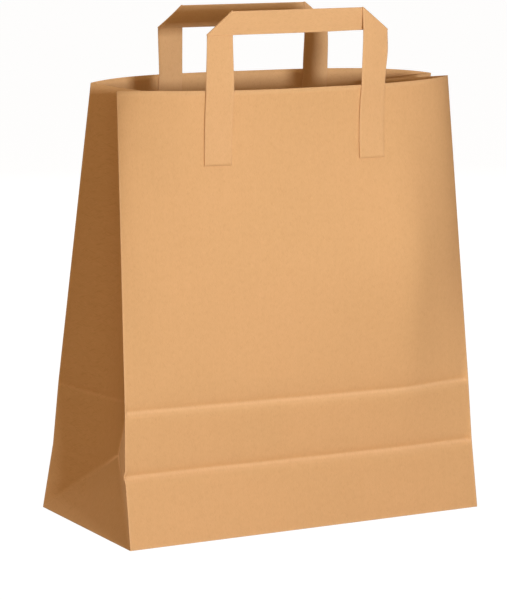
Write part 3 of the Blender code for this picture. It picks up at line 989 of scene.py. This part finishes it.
def make_floor():
    """White floor that keeps the bag's soft shadow."""
    half = FLOOR_SIZE / 2
    low = -FLOOR_DROP
    corners = np.array([[-half, -half, low], [half, -half, low], [half, half, low], [-half, half, low]])
    material = bpy.data.materials.new("white_floor")
    material.use_nodes = True
    tree = material.node_tree
    tree.nodes.clear()
    glow = add_node(tree, "ShaderNodeEmission", values={"Strength": FLOOR_GLOW})
    tint = add_node(tree, "ShaderNodeBsdfDiffuse", values={"Color": (FLOOR_TINT, FLOOR_TINT, FLOOR_TINT, 1.0)})
    shown = tree.nodes.new("ShaderNodeAddShader")
    bounce = add_node(tree, "ShaderNodeBsdfDiffuse", values={"Color": (*FLOOR_BOUNCE, 1.0)})
    choose = tree.nodes.new("ShaderNodeMixShader")
    end = tree.nodes.new("ShaderNodeOutputMaterial")
    tree.links.new(glow.outputs[0], shown.inputs[0])
    tree.links.new(tint.outputs[0], shown.inputs[1])
    tree.links.new(seen_by_eye(tree), choose.inputs["Fac"])
    tree.links.new(bounce.outputs[0], choose.inputs[1])
    tree.links.new(shown.outputs[0], choose.inputs[2])
    tree.links.new(choose.outputs[0], end.inputs["Surface"])
    floor = mesh_object("floor", corners, np.array([[0, 1, 2, 3]]), material)


FILL_COLOUR = (1.0, 0.58, 0.18)
FILL_LEVEL = 0.18


def make_world():
    """White to the eye, and a warm even fill on the bag."""
    world = bpy.data.worlds.new("studio")
    bpy.context.scene.world = world
    world.use_nodes = True
    tree = world.node_tree
    tree.nodes.clear()
    fill = add_node(tree, "ShaderNodeBackground", values={"Color": (*FILL_COLOUR, 1.0), "Strength": FILL_LEVEL})
    white = add_node(tree, "ShaderNodeBackground", values={"Color": (1.0, 1.0, 1.0, 1.0), "Strength": 1.0})
    choose = tree.nodes.new("ShaderNodeMixShader")
    end = tree.nodes.new("ShaderNodeOutputWorld")
    tree.links.new(seen_by_eye(tree), choose.inputs["Fac"])
    tree.links.new(fill.outputs[0], choose.inputs[1])
    tree.links.new(white.outputs[0], choose.inputs[2])
    tree.links.new(choose.outputs[0], end.inputs["Surface"])


def add_lamp(name, place, target, size, power, colour):
    """A square softbox at a place, aimed at a target, that the camera doesn't see."""
    lamp = bpy.data.lights.new(name, "AREA")
    lamp.shape = "SQUARE"
    lamp.size = size
    lamp.energy = power
    lamp.color = colour
    item = bpy.data.objects.new(name, lamp)
    bpy.context.scene.collection.objects.link(item)
    away = np.subtract(place, target)
    away = away / np.linalg.norm(away)
    right = np.cross((0.0, 0.0, 1.0), away)
    right = right / np.linalg.norm(right)
    up = np.cross(away, right)
    item.matrix_world = Matrix([[right[i], up[i], away[i], place[i]] for i in range(3)] + [[0.0, 0.0, 0.0, 1.0]])
    item.visible_camera = False


# Name, place, size, power and colour of each lamp
LAMPS = (
    ("key_light", (-0.15, -1.27, 0.378), 0.09, 11.5, (0.840, 0.920, 1.0)),
    ("side_fill", (-1.25, -2.10, 0.60), 1.0, 9.2, (1.0, 0.86, 0.60)),
    ("top_light", (0.0, -0.25, 1.90), 0.9, 5.5, (1.0, 0.86, 0.62)),
    ("back_light", (-0.55, 1.45, 0.75), 1.0, 7.5, (1.0, 0.88, 0.74)),
    ("rear_fill", (0.65, 1.50, 0.80), 1.0, 9.0, (1.0, 0.95, 0.88)),
)


def make_lights():
    """A low key in front, a fill beside the camera, and softboxes above and behind."""
    for name, place, size, power, colour in LAMPS:
        add_lamp(name, place, (0.0, 0.0, 0.16), size, power, colour)


# Camera at the photograph's viewing angle
CAMERA_PLACE = (-0.9112, -1.7465, 0.4646)
CAMERA_YAW = 0.479
CAMERA_PITCH = 0.16212
CAMERA_ROLL = 0.00435
CAMERA_LENS = 178.18
CAMERA_SENSOR = 36.0


def make_camera():
    """Camera turned by its yaw, tipped down by its pitch and rolled a little."""
    sin_yaw, cos_yaw = math.sin(CAMERA_YAW), math.cos(CAMERA_YAW)
    sin_pitch, cos_pitch = math.sin(CAMERA_PITCH), math.cos(CAMERA_PITCH)
    forward = np.array([sin_yaw * cos_pitch, cos_yaw * cos_pitch, -sin_pitch])
    level = np.array([cos_yaw, -sin_yaw, 0.0])
    down = np.cross(forward, level)
    right = level * math.cos(CAMERA_ROLL) + down * math.sin(CAMERA_ROLL)
    up = level * math.sin(CAMERA_ROLL) - down * math.cos(CAMERA_ROLL)
    camera = bpy.data.cameras.new("camera")
    camera.lens = CAMERA_LENS
    camera.sensor_width = CAMERA_SENSOR
    camera.clip_start = 0.05
    item = bpy.data.objects.new("camera", camera)
    bpy.context.scene.collection.objects.link(item)
    rows = [[right[i], up[i], -forward[i], CAMERA_PLACE[i]] for i in range(3)]
    item.matrix_world = Matrix(rows + [[0.0, 0.0, 0.0, 1.0]])
    bpy.context.scene.camera = item


def main():
    """Dress the frame, light it and set the camera."""
    fibres = fibre_group()
    tone = tone_group(fibres)
    bag_paper = paper_material("kraft_sheet", tone, (0.70, 0.405, 0.191), 0.86, 0.00004)
    tape_paper = paper_material("kraft_tape_sheet", tone, (0.705, 0.412, 0.200), 0.82, 0.00003)
    front = panel_table(FRONT, FRONT_LOOK, front_form, 11)
    rear = panel_table(REAR, REAR, rear_form, 23)
    bag = make_bag(front, rear, bag_paper)
    front_handle = make_handle("front_tape_handle", FRONT, front, 0.0003, tape_paper)
    rear_handle = make_handle("rear_tape_handle", REAR, rear, 0.0010, tape_paper)
    for piece, node, slot in (
        (bag, "bag_body", "kraft_paper"),
        (front_handle, "front_handle", "kraft_tape"),
        (rear_handle, "rear_handle", "kraft_tape"),
    ):
        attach(piece, "root")
        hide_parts(node)
    make_floor()
    make_world()
    make_lights()
    make_camera()
    bpy.context.scene.view_settings.view_transform = "Standard"


main()
